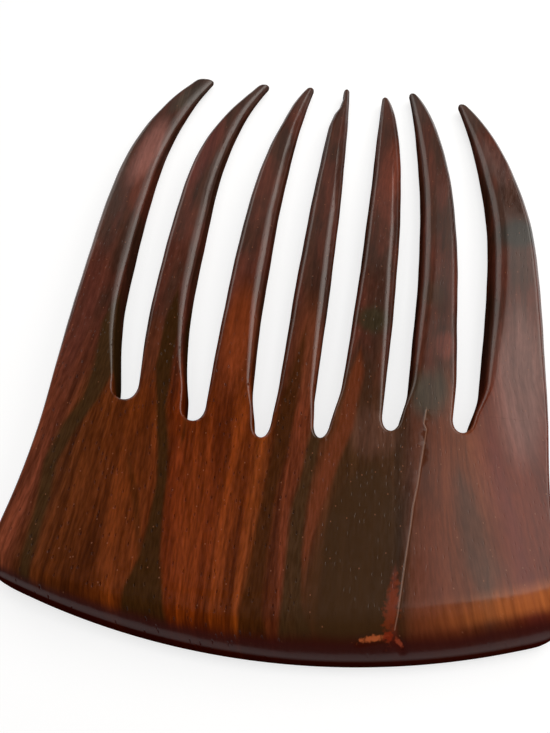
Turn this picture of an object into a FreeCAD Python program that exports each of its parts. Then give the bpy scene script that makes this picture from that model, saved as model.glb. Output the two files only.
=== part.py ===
"""Carved wooden afro pick: a broad back and seven curved tines, cut from one flat board.

The pick lies on its underside: X runs across it, Y from the bottom edge to the tips, Z up out of its face.
The origin is on the underside, at the middle of the length and width. Sizes are in millimetres.
"""
import FreeCAD
import Part
import math
import os

# Driving dimensions of the whole pick
LENGTH = 130.0
THICKNESS = 9.0
EDGE_RADIUS = 1.2
CUT_OVERRUN = 5.0

# Back: bottom edge, flanks and corners
BACK_DEPTH = 38.5
BOTTOM_RADIUS = 145.0
BOTTOM_ARC_OFFSET = -3.2
FLANK_SPREAD = 3.7
FLANK_STRAIGHT = 7.0
CORNER_RADIUS = 5.0
ROLL_DEPTH = 9.0
ROLL_DROP = 5.0

# Slots between the tines, from left to right
SLOT_WIDTH = 4.8
SLOT_PITCH = 13.0
SLOT_CENTRE_SHARES = (-2.46, -1.44, -0.45, 0.43, 1.43, 2.46)
SLOT_END_SHARES = (0.0, 0.0, -0.08, 0.0, 0.27, -0.27)
SLOT_LEG = 1.0

# Tines, from left to right: each has the same form with its own shares, as hand carving leaves them
OUTER_ROOT_WIDTH = 11.9
OUTER_BODY_SHARES = (0.72, 0.82)
TINE_WIDTH = 7.2
INNER_BODY_SHARES = (0.99, 0.99, 1.0, 1.04, 1.0)
TINE_FULLNESS = (4.6, 4.2, 3.2, 2.6, 3.2, 4.4, 2.6)
ROOT_FLARE = 3.0
ROOT_FLARE_SHARES = (1.25, 1.0, 0.42, -0.2, 0.64, 0.35, 0.62)
ROOT_FLARE_END_SHARES = (0.31, 0.29, 0.3, 0.5, 0.75, 0.75, 0.6)
TIP_SWEEP = 8.0
TIP_SWEEP_SHARES = (1.06, 0.98, 0.46, -0.15, -0.06, 0.68, 1.02)
SWEEP_START_SHARES = (0.42, 0.45, 0.35, 0.5, 0.35, 0.3, 0.42)
SWEEP_POWERS = (2.9, 2.9, 2.6, 2.0, 2.0, 2.2, 2.0)
TIP_DROP = 2.0
TIP_DROP_SHARES = (0.55, 0.65, 0.5, 0.25, 1.0, 0.0, 1.0)
TIP_WIDTH = 1.4
TIP_WIDTH_SHARES = (2.0, 1.3, 0.9, 0.8, 0.9, 1.0, 1.2)
TIP_THICKNESS = 2.0
TIP_LIFT = 1.0
TOP_TAPER_POWER = 1.6
UNDERSIDE_LIFT_POWER = 2.0
BEVEL_WIDTH = 2.2
BEVEL_HEIGHT = 1.7
LEFT_BEVEL_SHARES = (0.6, 0.6, 0.6, 0.7, 0.6, 1.05, 1.2)
RIGHT_BEVEL_SHARES = (1.5, 1.2, 1.05, 1.0, 1.0, 0.6, 0.6)
BEVEL_FULL_SHARE = 0.36
BEVEL_BULGE_SHARE = 0.4
ROUND_BULGE_SHARE = 1 - math.sqrt(0.5)
ROUND_LIMIT_SHARE = 0.42
STATION_SHARES = (0.0, 0.06, 0.12, 0.18, 0.25, 0.36, 0.48, 0.6, 0.71, 0.8, 0.87, 0.92, 0.96, 0.985, 1.0)
LAST_LEFT_SIDE_TINE = 3

# Places worked out from the driving dimensions
BODY_WIDTHS = [TINE_WIDTH * share for share in INNER_BODY_SHARES]
BODY_WIDTHS.insert(0, OUTER_ROOT_WIDTH * OUTER_BODY_SHARES[0])
BODY_WIDTHS.append(OUTER_ROOT_WIDTH * OUTER_BODY_SHARES[1])
TINE_COUNT = len(BODY_WIDTHS)
BOTTOM_Y = -LENGTH / 2
TIP_Y = LENGTH / 2
ARC_CENTRE_Y = BOTTOM_Y + BOTTOM_RADIUS
SLOT_ARC_RADIUS = BOTTOM_RADIUS - BACK_DEPTH
SLOT_RADIUS = SLOT_WIDTH / 2
SLOT_CENTRES = [share * SLOT_PITCH for share in SLOT_CENTRE_SHARES]
LEFT_FLANK = SLOT_CENTRES[0] - SLOT_RADIUS - OUTER_ROOT_WIDTH
RIGHT_FLANK = SLOT_CENTRES[-1] + SLOT_RADIUS + OUTER_ROOT_WIDTH
FIT_TOLERANCE = EDGE_RADIUS / 1000


def arc_y(x, radius):
    """Height of an arc about the bottom edge's centre, at a place across the pick."""
    return ARC_CENTRE_Y - math.sqrt(radius ** 2 - (x - BOTTOM_ARC_OFFSET) ** 2)


def slot_round_y(slot):
    """Centre of a slot's round end along the length."""
    end = arc_y(SLOT_CENTRES[slot], SLOT_ARC_RADIUS) + SLOT_END_SHARES[slot] * SLOT_WIDTH
    return end + SLOT_RADIUS


def root_y(tine):
    """Where a tine leaves the back: just above the round ends of the slots beside it."""
    beside = [slot for slot in (tine - 1, tine) if 0 <= slot < len(SLOT_CENTRES)]
    return max(slot_round_y(slot) for slot in beside) + SLOT_LEG


def root_edges(tine):
    """Left and right edges of a tine's root."""
    left = LEFT_FLANK if tine == 0 else SLOT_CENTRES[tine - 1] + SLOT_RADIUS
    right = RIGHT_FLANK if tine == TINE_COUNT - 1 else SLOT_CENTRES[tine] - SLOT_RADIUS
    return left, right


def rounding():
    """Radius of every long edge, limited by the narrowest root and by the board."""
    narrowest = min(right - left for left, right in map(root_edges, range(TINE_COUNT)))
    return min(EDGE_RADIUS, ROUND_LIMIT_SHARE * narrowest, ROUND_LIMIT_SHARE * THICKNESS)


def settled(share):
    """Rise from 0 to 1 that starts at once and settles smoothly."""
    left_over = max(1 - share, 0.0)
    return 1 - left_over * left_over


def tine_edges(tine, share):
    """Left and right edges of a tine at a share of its length from root to tip.

    The edge that faces the middle of the pick leads: it flares out of the slot, then sweeps to the tip.
    The other edge follows it at the tine's width, and rounds in to meet it there.
    """
    left, right = root_edges(tine)
    on_left = tine <= LAST_LEFT_SIDE_TINE
    inner_root = -right if on_left else left
    root_width = right - left
    start = SWEEP_START_SHARES[tine]
    swept = max(share - start, 0.0) / (1 - start)
    flared = settled(share / ROOT_FLARE_END_SHARES[tine])
    flare = ROOT_FLARE * ROOT_FLARE_SHARES[tine] * flared
    sweep = TIP_SWEEP * TIP_SWEEP_SHARES[tine] * swept ** SWEEP_POWERS[tine]
    inner = inner_root + flare - sweep
    width = root_width + (BODY_WIDTHS[tine] - root_width) * flared
    tip_width = TIP_WIDTH * TIP_WIDTH_SHARES[tine]
    narrowing = 1 - share ** TINE_FULLNESS[tine]
    outer = inner + math.sqrt(tip_width ** 2 + (width ** 2 - tip_width ** 2) * narrowing)
    if on_left:
        return -outer, -inner
    return inner, outer


def tine_heights(share):
    """Underside and top of a tine at a share of its length."""
    low = TIP_LIFT * share ** UNDERSIDE_LIFT_POWER
    tip_top = TIP_LIFT + TIP_THICKNESS
    high = THICKNESS + (tip_top - THICKNESS) * share ** TOP_TAPER_POWER
    return low, high


def top_corner(bevel_share, share, radius):
    """Width, height and bulge of a tine's top corner: round at the root, a full bevel further on."""
    bevelled = settled(share / BEVEL_FULL_SHARE)
    width = radius + (BEVEL_WIDTH * bevel_share - radius) * bevelled
    height = radius + (BEVEL_HEIGHT - radius) * bevelled
    bulge = ROUND_BULGE_SHARE + (BEVEL_BULGE_SHARE - ROUND_BULGE_SHARE) * bevelled
    return width, height, bulge


def tine_section(tine, share, y):
    """Closed section across a tine, with round lower corners and bevelled upper ones."""
    left, right = tine_edges(tine, share)
    low, high = tine_heights(share)
    widest = ROUND_LIMIT_SHARE * (right - left)
    highest = ROUND_LIMIT_SHARE * (high - low)
    radius = rounding()
    under = radius, radius, ROUND_BULGE_SHARE
    over_left = top_corner(LEFT_BEVEL_SHARES[tine], share, radius)
    over_right = top_corner(RIGHT_BEVEL_SHARES[tine], share, radius)
    corners = (
        (right, low, -1, 1, under),
        (right, high, -1, -1, over_right),
        (left, high, 1, -1, over_left),
        (left, low, 1, 1, under),
    )
    arcs = []
    for x, z, toward_x, toward_z, (width, height, bulge) in corners:
        in_x = toward_x * min(width, widest)
        in_z = toward_z * min(height, highest)
        beside = FreeCAD.Vector(x, y, z + in_z)
        across = FreeCAD.Vector(x + in_x, y, z)
        middle = FreeCAD.Vector(x + in_x * bulge, y, z + in_z * bulge)
        ends = (across, beside) if toward_x * toward_z < 0 else (beside, across)
        arcs.append((ends[0], middle, ends[1]))
    edges = []
    for number, (first, middle, last) in enumerate(arcs):
        following = arcs[(number + 1) % len(arcs)][0]
        edges.append(Part.Arc(first, middle, last).toShape())
        edges.append(Part.makeLine(last, following))
    return Part.Wire(edges)


def make_tine(tine):
    """One tine, lofted from its root on the back to its blunt tip."""
    base = root_y(tine)
    tip = TIP_Y - TIP_DROP * TIP_DROP_SHARES[tine]
    sections = []
    for share in STATION_SHARES:
        sections.append(tine_section(tine, share, base + (tip - base) * share))
    return Part.makeLoft(sections, True, False)


def corner_point(flank, side):
    """Sharp bottom corner under a flank, where the spread flank meets the bottom arc."""
    x = flank + side * FLANK_SPREAD
    return FreeCAD.Vector(x, arc_y(x, BOTTOM_RADIUS), 0)


def flank_edges(flank, side, top):
    """Edges of one flank: straight below the root, then spreading in an arc to the bottom corner."""
    corner = corner_point(flank, side)
    spread_top = FreeCAD.Vector(flank, top - FLANK_STRAIGHT, 0)
    spread_height = spread_top.y - corner.y
    radius = (spread_height ** 2 + FLANK_SPREAD ** 2) / (2 * FLANK_SPREAD)
    half_way = spread_height / 2
    out = radius - math.sqrt(radius ** 2 - half_way ** 2)
    middle = FreeCAD.Vector(flank + side * out, spread_top.y - half_way, 0)
    return [
        Part.makeLine(FreeCAD.Vector(flank, top, 0), spread_top),
        Part.Arc(spread_top, middle, corner).toShape(),
    ]


def back_outline():
    """Closed outline of the back: flanks, bottom arc, tine roots and the round ends of the slots."""
    edges = flank_edges(LEFT_FLANK, -1, root_y(0)) + flank_edges(RIGHT_FLANK, 1, root_y(TINE_COUNT - 1))
    lowest = FreeCAD.Vector(BOTTOM_ARC_OFFSET, BOTTOM_Y, 0)
    bottom = Part.Arc(corner_point(LEFT_FLANK, -1), lowest, corner_point(RIGHT_FLANK, 1))
    edges.append(bottom.toShape())
    for tine in range(TINE_COUNT):
        ends = [FreeCAD.Vector(x, root_y(tine), 0) for x in root_edges(tine)]
        edges.append(Part.makeLine(*ends))
    for slot, centre in enumerate(SLOT_CENTRES):
        middle = slot_round_y(slot)
        left = FreeCAD.Vector(centre - SLOT_RADIUS, middle, 0)
        right = FreeCAD.Vector(centre + SLOT_RADIUS, middle, 0)
        deepest = FreeCAD.Vector(centre, middle - SLOT_RADIUS, 0)
        edges.append(Part.makeLine(FreeCAD.Vector(left.x, root_y(slot), 0), left))
        edges.append(Part.Arc(left, deepest, right).toShape())
        edges.append(Part.makeLine(right, FreeCAD.Vector(right.x, root_y(slot + 1), 0)))
    return Part.Wire(Part.__sortEdges__(edges))


def is_corner(edge):
    """Whether an edge of the plain board stands at a bottom corner."""
    corners = corner_point(LEFT_FLANK, -1), corner_point(RIGHT_FLANK, 1)
    foot = min(edge.Vertexes, key=lambda vertex: vertex.Z).Point
    upright = edge.BoundBox.ZLength > THICKNESS / 2
    return upright and min(foot.distanceToPoint(corner) for corner in corners) < FIT_TOLERANCE


def is_long_edge(edge):
    """Whether an edge runs round the board's face or underside, other than across a tine's root."""
    box = edge.BoundBox
    flat = box.ZLength < FIT_TOLERANCE
    roots = [root_y(tine) for tine in range(TINE_COUNT)]
    across_root = box.YLength < FIT_TOLERANCE and min(abs(box.YMin - y) for y in roots) < FIT_TOLERANCE
    return flat and not across_root


def bottom_roll():
    """Ring outside the curve in which the face rolls over to the bottom edge."""
    radius = (ROLL_DEPTH ** 2 + ROLL_DROP ** 2) / (2 * ROLL_DROP)
    half_turn = math.asin(ROLL_DEPTH / radius) / 2

    def place(out, z):
        return FreeCAD.Vector(BOTTOM_ARC_OFFSET, ARC_CENTRE_Y - out, z)

    inner = BOTTOM_RADIUS - ROLL_DEPTH
    outside = BOTTOM_RADIUS + CUT_OVERRUN
    start = place(inner, THICKNESS)
    middle = place(inner + radius * math.sin(half_turn), THICKNESS - radius + radius * math.cos(half_turn))
    end = place(BOTTOM_RADIUS, THICKNESS - ROLL_DROP)
    corners = [
        end,
        place(outside, THICKNESS - ROLL_DROP),
        place(outside, THICKNESS + CUT_OVERRUN),
        place(inner, THICKNESS + CUT_OVERRUN),
        start,
    ]
    profile = Part.Wire([Part.Arc(start, middle, end).toShape(), *Part.makePolygon(corners).Edges])
    axis_point = FreeCAD.Vector(BOTTOM_ARC_OFFSET, ARC_CENTRE_Y, 0)
    return Part.Face(profile).revolve(axis_point, FreeCAD.Vector(0, 0, 1), 360)


def make_back():
    """The back: a board with round corners and edges, whose face rolls over to the bottom edge."""
    board = Part.Face(back_outline()).extrude(FreeCAD.Vector(0, 0, THICKNESS))
    board = board.makeFillet(CORNER_RADIUS, [edge for edge in board.Edges if is_corner(edge)])
    board = board.makeFillet(rounding(), [edge for edge in board.Edges if is_long_edge(edge)])
    return board.cut(bottom_roll()).Solids[0]


def main():
    """Write every piece to its own file."""
    pieces = {"comb_back": make_back()}
    for tine in range(TINE_COUNT):
        pieces[f"tine_{tine + 1}"] = make_tine(tine)
    os.makedirs("parts", exist_ok=True)
    for name, shape in pieces.items():
        box = shape.optimalBoundingBox()
        print(name, "valid", shape.isValid(), "volume", round(shape.Volume, 1), "box",
              [round(v, 3) for v in (box.XMin, box.YMin, box.ZMin, box.XMax, box.YMax, box.ZMax)])
        shape.exportStep(os.path.join("parts", name + ".step"))


main()
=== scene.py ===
import math

import bmesh
import bpy
import numpy as np
from mathutils import Matrix, Vector
from mathutils.bvhtree import BVHTree
from mathutils.geometry import delaunay_2d_cdt


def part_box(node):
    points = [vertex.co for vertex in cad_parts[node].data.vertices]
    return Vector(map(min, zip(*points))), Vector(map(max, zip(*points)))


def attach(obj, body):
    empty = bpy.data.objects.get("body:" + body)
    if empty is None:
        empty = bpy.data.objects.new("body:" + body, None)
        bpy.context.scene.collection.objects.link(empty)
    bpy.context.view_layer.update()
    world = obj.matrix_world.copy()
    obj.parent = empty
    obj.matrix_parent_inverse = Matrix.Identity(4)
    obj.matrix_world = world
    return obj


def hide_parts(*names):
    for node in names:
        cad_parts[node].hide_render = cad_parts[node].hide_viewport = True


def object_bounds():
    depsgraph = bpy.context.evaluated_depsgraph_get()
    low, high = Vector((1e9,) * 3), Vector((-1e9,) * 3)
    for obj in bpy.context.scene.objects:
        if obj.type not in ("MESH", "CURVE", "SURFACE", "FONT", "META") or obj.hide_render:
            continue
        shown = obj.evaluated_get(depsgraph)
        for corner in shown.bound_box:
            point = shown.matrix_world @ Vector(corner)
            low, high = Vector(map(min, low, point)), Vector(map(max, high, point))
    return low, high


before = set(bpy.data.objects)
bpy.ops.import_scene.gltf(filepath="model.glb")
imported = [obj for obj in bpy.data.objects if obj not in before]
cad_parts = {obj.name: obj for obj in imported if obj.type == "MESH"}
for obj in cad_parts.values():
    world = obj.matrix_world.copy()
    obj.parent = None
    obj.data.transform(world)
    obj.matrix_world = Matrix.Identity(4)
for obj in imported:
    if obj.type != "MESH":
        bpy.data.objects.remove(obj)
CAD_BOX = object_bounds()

# Lengths below are in millimetres, angles in degrees, and the wood's colours in 8-bit sRGB
MM = 0.001
BODY = "root"
SLOT = "rosewood"
BACK = "comb_back"
TINES = sorted(set(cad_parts) - {BACK})

# Camera
CAMERA_PLACE = (6.5, -78.6, 144.8)
CAMERA_YAW = 4.7
CAMERA_TILT = 25.6
CAMERA_ROLL = 8.6
CAMERA_LENS = 39.29
CAMERA_SENSOR = 36.0
CAMERA_NEAR = 1.0

# Sizes that the frame gives, and the reach of the plan that the wood's figure is drawn on
THICKNESS = CAD_BOX[1][2] / MM
HALF_LENGTH = CAD_BOX[1][1] / MM
PLAN_REACH = 50.0
PLAN_SPAN = (-PLAN_REACH, PLAN_REACH)

# Edges and mesh spacing
EDGE_RADIUS = 1.2
TOP_RADIUS = 0.7
ROUND_LIMIT_SHARE = 0.42
ROUND_POWER = 2.0
ROUND_STEPS = 12
WALL_STEPS = 6
FLAT_STEPS = 12
OUTLINE_SPACING = 0.5
FACE_SPACING = 0.8
UNDERSIDE_SPACING = 4.0
EDGE_CLEARANCE_SHARE = 0.6
WELD = 0.001
ROOT_FACING = 0.9999

# Corners of the largest face that isn't a cap, and the triangulation's choice of faces inside the ring
QUAD_CORNERS = 4
INSIDE_FACES = 1

# Roll of the face over the bottom edge, from left to right
ROLL_PLACES = (-48.0, -25.0, 5.0, 46.0)
ROLL_DEPTHS = (4.5, 6.5, 9.0, 9.0)
ROLL_DROPS = (4.0, 4.6, 5.0, 5.0)
RIM_RADIUS = 0.8
ARC_SAMPLE = 30.0

# Bevels along the tines' left and right upper edges: widths and heights, from left to right
BEVEL_POWERS = (2.0, 1.5)
BEVEL_FULL_SHARE = 0.45
LEFT_BEVELS = ((1.3, 2.0), (1.3, 2.0), (1.3, 2.0), (1.5, 2.3), (1.3, 2.0), (2.6, 2.0), (3.0, 2.4))
RIGHT_BEVELS = ((3.3, 1.35), (2.6, 1.25), (2.3, 1.4), (2.2, 1.4), (2.2, 1.6), (1.3, 2.0), (1.3, 2.0))

# Departures of the carver's hand from true tines: trims along the left edges, and wobble in both
LEFT_TRIM_PLACES = (44.0, 52.0, 56.0, 58.0, 61.0, 64.5)
LEFT_TRIMS = {
    "tine_1": (0.0, 0.0, -0.2, -0.3, -0.5, -1.3),
    "tine_2": (0.0, 0.3, 0.4, 0.4, 0.2, -0.7),
    "tine_3": (0.0, 0.3, 0.15, 0.0, 0.0, -0.2),
    "tine_4": (0.0, 0.0, 0.35, 1.0, 1.0, -0.15),
}
WOBBLES = ((0.035, 23.0), (0.015, 8.3))
WOBBLE_FADE = 14.0

# Slots, from left to right: shifts of the left and right walls towards the end, and depth added to the end
SLOT_PINCHES = ((0.0, 0.0), (0.6, 0.0), (1.3, -0.5), (0.8, -1.4), (0.0, -1.6), (-0.6, -1.9))
SLOT_DEEPENINGS = (0.8, 0.6, 0.7, 0.1, 0.3, 0.2)
PINCH_LENGTH = 11.0
DEEPENING_LENGTH = 3.0

# Run of the back's edges into the tines, places where the tines are measured, and their tips
BACK_LEAD = 1.5
TINE_LEAD = 3.0
RAY_HEIGHT = 2.08
RAY_REACH = 200.0
ROOT_MARGIN = 0.01
ROOT_STEP = 1.0
TINE_STATIONS = 30
TINE_RINGS = 150
TIP_ROUND = 0.9
TIP_ROUND_SHARE = 0.5
TIP_BLUNTNESS = 0.65
TIP_RINGS = 12

# Crack down the right of the back, and the chip at its foot: points across and along the pick
CRACK = (
    (24.1, -18.6), (23.8, -21.3), (24.3, -22.2), (24.0, -26.0), (23.6, -30.0), (23.3, -33.5),
    (22.8, -37.0), (22.6, -40.5), (22.2, -45.0), (21.8, -50.0), (21.5, -54.0), (21.1, -58.0),
)
CRACK_WIDTH = 0.3
CRACK_DEPTH = 0.06
CRACK_HALF_SHARE = 1 / 3
CRACK_SOFT_SHARE = 0.25
CRACK_FADES = (1.0, 6.0)
CRACK_GONE = -1.0
CHIPS = (((15.5, -60.3), (19.8, -58.8)), ((21.3, -58.8), (22.8, -60.3)))
CHIP_WIDTH = 1.2
CHIP_DEPTH = 0.3
SCAR_OFFSETS = (-2, -1, 0, 1, 2)
SCAR_SPACING = 0.35

# Slow swell that hand polishing leaves in the face: height, wavelength and heading of each wave
SWELLS = ((0.035, 34.0, 20.0), (0.03, 21.0, 115.0), (0.018, 13.0, 70.0))

# Rosewood: bands across the back, the tines' own colour, and grey-brown tips that are partly a painted
# sheen
BANDS = (
    (-50.0, (104, 50, 31)), (-44.5, (106, 51, 31)), (-41.0, (82, 40, 17)), (-36.0, (88, 39, 10)),
    (-31.0, (80, 33, 6)), (-28.0, (100, 42, 7)), (-24.5, (90, 37, 6)), (-19.5, (98, 35, 3)),
    (-15.0, (110, 42, 3)), (-12.0, (88, 31, 2)), (-9.0, (110, 44, 4)), (-6.8, (92, 35, 3)),
    (-5.0, (122, 53, 9)), (-2.5, (82, 35, 9)), (1.5, (96, 41, 18)), (7.0, (84, 42, 19)),
    (9.5, (66, 39, 17)), (20.0, (62, 37, 18)), (23.5, (82, 41, 23)), (28.0, (98, 47, 24)),
    (34.0, (108, 54, 28)), (40.0, (104, 43, 24)), (50.0, (98, 40, 24)),
)
TINE_COLOUR = (64, 37, 26)
TINE_RED = (86, 43, 31)
TINE_START, TINE_FULL = -26.0, -2.0
# Grey-brown over the tips, partly the wood's own tone and partly a painted sheen
TIP_TONE_AND_SHEEN = (74, 60, 54)
TIP_START, TIP_FULL, TIP_STRENGTH = 50.0, 64.0, 0.6

# Streaks along the grain: colour, strength, softness, then points along, across and half wide
DARK = (60, 29, 5)
OLIVE = (59, 39, 18)
STREAKS = (
    (OLIVE, 0.9, 0.6, (
        (-64, -42.4, 0.8), (-56, -41.7, 0.9), (-44, -41.7, 1.2), (-37, -42.2, 1.2), (-30, -40.4, 1.5),
        (-24, -37.8, 1.6), (-17, -36.7, 2.2), (-8, -37.2, 2.5), (6, -38.5, -1.0))),
    ((54, 31, 8), 0.94, 0.5, (
        (-62, -20.8, 4.0), (-57, -20.8, 3.2), (-52, -20.8, 1.9), (-46, -21.1, 1.2), (-38, -21.7, 1.05),
        (-31, -22.8, 1.0), (-24, -24.3, 0.9), (-16, -25.6, 1.5), (-6, -26.0, 1.4), (8, -27.0, -1.0))),
    (DARK, 0.55, 0.4, (
        (-54, -22.5, -0.5), (-50, -23.0, 0.5), (-42, -25.6, 0.6), (-35, -28.2, 0.3), (-31, -29.2, -0.5))),
    (DARK, 0.55, 0.3, ((-34, -19.6, -0.4), (-30, -19.5, 0.35), (-24, -19.8, 0.35), (-20, -20.0, -0.4))),
    (DARK, 0.85, 0.6, (
        (-63, -2.3, 2.6), (-57, -2.9, 1.8), (-48, -2.8, 1.5), (-39, -2.5, 1.2), (-28, -1.6, 1.4),
        (-20, -1.0, 1.6), (-8, 0.0, 0.6), (4, 0.4, -1.0))),
    (OLIVE, 0.9, 0.6, (
        (-63, 5.0, 3.4), (-56, 3.9, 1.9), (-48, 3.3, 1.3), (-39, 3.1, 1.2), (-30, 4.1, 1.1),
        (-25, 4.6, 1.1), (-20, 4.8, -0.6))),
    ((106, 48, 22), 0.85, 0.6, (
        (-52, 5.0, -0.6), (-48, 5.2, 0.3), (-40, 5.7, 1.0), (-31, 7.6, 1.5), (-24, 9.6, 1.6),
        (-12, 11.0, 1.0), (-4, 11.5, -0.8))),
    ((48, 32, 20), 0.5, 0.8, ((-58, 19.8, 0.6), (-45, 20.6, 0.8), (-36, 21.4, 0.7), (-28, 22.2, -0.8))),
    ((104, 42, 28), 0.7, 0.5, ((-61, 20.6, 0.9), (-55, 20.4, 0.8), (-49, 20.5, 0.4), (-46, 20.6, -0.6))),
    ((118, 54, 28), 0.4, 1.6, ((-57, 27.4, 4.0), (-48, 26.4, 2.8), (-40, 25.8, 1.4), (-33, 25.0, -1.0))),
    ((110, 46, 36), 0.55, 1.2, (
        (-54, 44.0, 1.4), (-44, 41.4, 1.2), (-34, 38.6, 1.1), (-24, 36.4, 0.8), (-16, 35.0, -1.2))),
    ((66, 48, 38), 0.6, 1.6, (
        (-54, 36.4, 0.6), (-46, 34.6, 2.6), (-38, 32.6, 2.2), (-31, 30.8, 0.8), (-26, 29.8, -1.6))),
)

# Plain zone on the right of the middle, laid over the fine grain
PLAIN_COLOUR, PLAIN_STRENGTH, PLAIN_SOFTNESS = (61, 39, 19), 0.75, 1.5
PLAIN_ZONE = ((-64, 12.5, 7.5), (-50, 13.0, 7.0), (-40, 14.0, 6.0), (-34, 15.0, 4.0), (-28, 15.5, -2.0))

# Patches of the wood's colour, and some of painted sheen and reflection: place, half sizes, turn, colour
# and strength
PATCHES_AND_SHEENS = (
    # Red wood with a painted pale sheen of the ridge highlight, up the first tine
    ((-40.2, 38.0), (3.4, 14.0), -8.0, (142, 90, 80), 0.8),
    # Painted reflection: grey near the first tine's tip, on its right side
    ((-35.0, 56.5), (2.6, 8.0), -28.0, (60, 60, 48), 0.6),
    ((-44.0, -6.0), (3.4, 20.0), 0.0, (90, 44, 34), 0.6),
    ((-28.0, 38.0), (3.0, 16.0), -10.0, (100, 46, 40), 0.5),
    ((-28.8, -12.0), (2.2, 9.0), 0.0, (92, 46, 26), 0.7),
    ((-13.0, -7.0), (4.6, 17.0), 0.0, (116, 50, 20), 0.9),
    ((0.5, -8.0), (4.0, 15.0), 0.0, (102, 51, 27), 0.65),
    ((12.5, -0.5), (4.6, 4.2), 0.0, (52, 44, 27), 0.85),
    ((14.5, 40.0), (4.0, 13.0), 0.0, (116, 54, 36), 0.6),
    # Partly painted reflection: grey-green at the sixth tine's root, over the wood's own tone
    ((24.5, -15.0), (4.6, 7.0), 0.0, (62, 58, 46), 0.75),
    ((27.0, -4.5), (2.6, 4.0), 0.0, (120, 60, 48), 0.5),
    ((24.0, 7.0), (3.4, 4.0), 0.0, (66, 46, 34), 0.6),
    ((41.5, 24.5), (7.0, 4.8), 14.0, (40, 38, 32), 0.85),
    # Painted sheen: pale mauve over the seventh tine's root and the right of the back
    ((41.0, -10.0), (6.5, 21.0), 0.0, (130, 92, 84), 0.68),
    # Partly painted sheen: mauve-grey over the wood up the seventh tine
    ((36.5, 45.0), (4.0, 10.0), 24.0, (92, 68, 62), 0.5),
    ((3.0, 40.0), (3.4, 11.0), 0.0, (62, 30, 18), 0.5),
    # Painted reflection: brownish mauve laid over the plain olive zone on the back
    ((14.5, -24.0), (6.0, 7.0), 0.0, (92, 58, 44), 0.7),
)
CHIP_MARKS = (
    ((20.3, -54.5), (1.5, 6.5), -4.0, (122, 48, 18), 0.65),
    ((17.6, -59.6), (3.0, 0.6), 19.0, (190, 96, 52), 0.85),
    ((20.2, -58.9), (1.2, 1.0), 0.0, (128, 40, 18), 0.8),
    ((22.05, -59.55), (1.3, 0.45), -45.0, (150, 62, 38), 0.9),
)
PATCH_SOFT_SHARE = 0.35
PATCH_RAGGED_SHARE = 0.25
CHIP_RAGGED_SHARE = 1.0
CHIP_RAGGED_FREQUENCY = (1.3, 1.3)

# Crack, painted shade on the roll over the bottom edge, and a painted warm highlight above it on the right
CRACK_COLOUR, CRACK_STRENGTH = (154, 114, 92), 0.48
# Painted shade over the roll: dark red, the depths where it starts and is full, and its strength
ROLL_SHADE_COLOUR, ROLL_SHADE_START, ROLL_SHADE_FULL, ROLL_SHADE_STRENGTH = (58, 9, 4), 5.0, 2.4, 0.9
# Painted warm highlight where the face starts to roll on the right: colour, strength, then the places
# across, depths, grain and facing that bound it
WARM_HIGHLIGHT_COLOUR, WARM_HIGHLIGHT_STRENGTH = (196, 110, 56), 0.9
WARM_HIGHLIGHT_PLACES = (20.0, 48.0)
WARM_HIGHLIGHT_DEPTHS = (10.2, 6.8, 5.8, 3.8)
WARM_HIGHLIGHT_GRAIN = (0.5, 1.0)
WARM_HIGHLIGHT_FACING = (0.3, 0.8)

# Lean of the grain as a slope at places across the pick, and the stretch along the pick where it leans
LEAN_PLACES = (-50.0, -40.0, -28.0, -20.0, -5.0, 10.0, 24.0, 32.0, 44.0, 50.0)
LEANS = (0.1, 0.1, -0.04, -0.08, 0.0, -0.02, -0.05, -0.2, -0.24, -0.2)
LEAN_LIMIT = 0.25
LEAN_START, LEAN_MIDDLE, LEAN_END = -65.0, -40.0, -10.0

# Grain: slope of its layers through the board, and its waver
LAYER_SLOPE = 0.35
WARP_FREQUENCY = (0.13, 0.045)
WARP_SIZE = 0.7
TINE_START_WARP_SIZE = 1.4
EDGE_WARP_SIZE = 0.5

# Noise: its middle value, and its detail where it is soft, ragged or sharp
NOISE_MIDDLE = 0.5
SOFT_DETAIL, RAGGED_DETAIL, SHARP_DETAIL = 2.0, 3.0, 4.0

# Grain lines: frequencies across and along, contrast, and the stretch across the pick where they fade
MOTTLE, MOTTLE_RANGE = (0.16, 0.05), (0.4, 0.62)
GRAIN_RANGE = (0.3, 0.7)
BROAD_GRAIN, BROAD_CONTRAST = (0.36, 0.024), (0.72, 1.32)
FINE_GRAIN, FINE_CONTRAST = (1.0, 0.055), (0.68, 1.36)
HAIR_GRAIN, HAIR_CONTRAST = (2.6, 0.4), (0.78, 1.24)
LIVELY_PLACES, CALM_SHARE = (0.0, 12.0), 0.5

# Pores and flecks: cells across and along, size and choice in a cell, and looks
PORE_GRID, PORE_SIZE, PORE_CHOICE = (1.15, 0.4), 0.16, 0.68
PORE_SHADE, PORE_CALM_SHARE, PORE_RELIEF = 0.55, 0.25, 0.05
FLECK_GRID, FLECK_SIZE, FLECK_CHOICE = (0.42, 0.3), 0.055, 0.72
FLECK_COLOUR, FLECK_STRENGTH = (150, 94, 64), 0.5

# Polish: roughness, and shine that ends on steep walls
ROUGHNESS_RANGE = (0.13, 0.2)
POLISH_FACING, POLISH_RANGE = (0.45, 0.85), (0.0, 0.5)

# Curve of 8-bit sRGB: its white, end and slope of its straight foot, and offset and power above that
SRGB_WHITE, SRGB_FOOT, SRGB_SLOPE, SRGB_OFFSET, SRGB_POWER = 255, 0.04045, 12.92, 0.055, 2.4

# Socket numbers of the colour mix node
MIX_FACTOR, MIX_BELOW, MIX_ABOVE, MIX_RESULT = 0, 6, 7, 2

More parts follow.
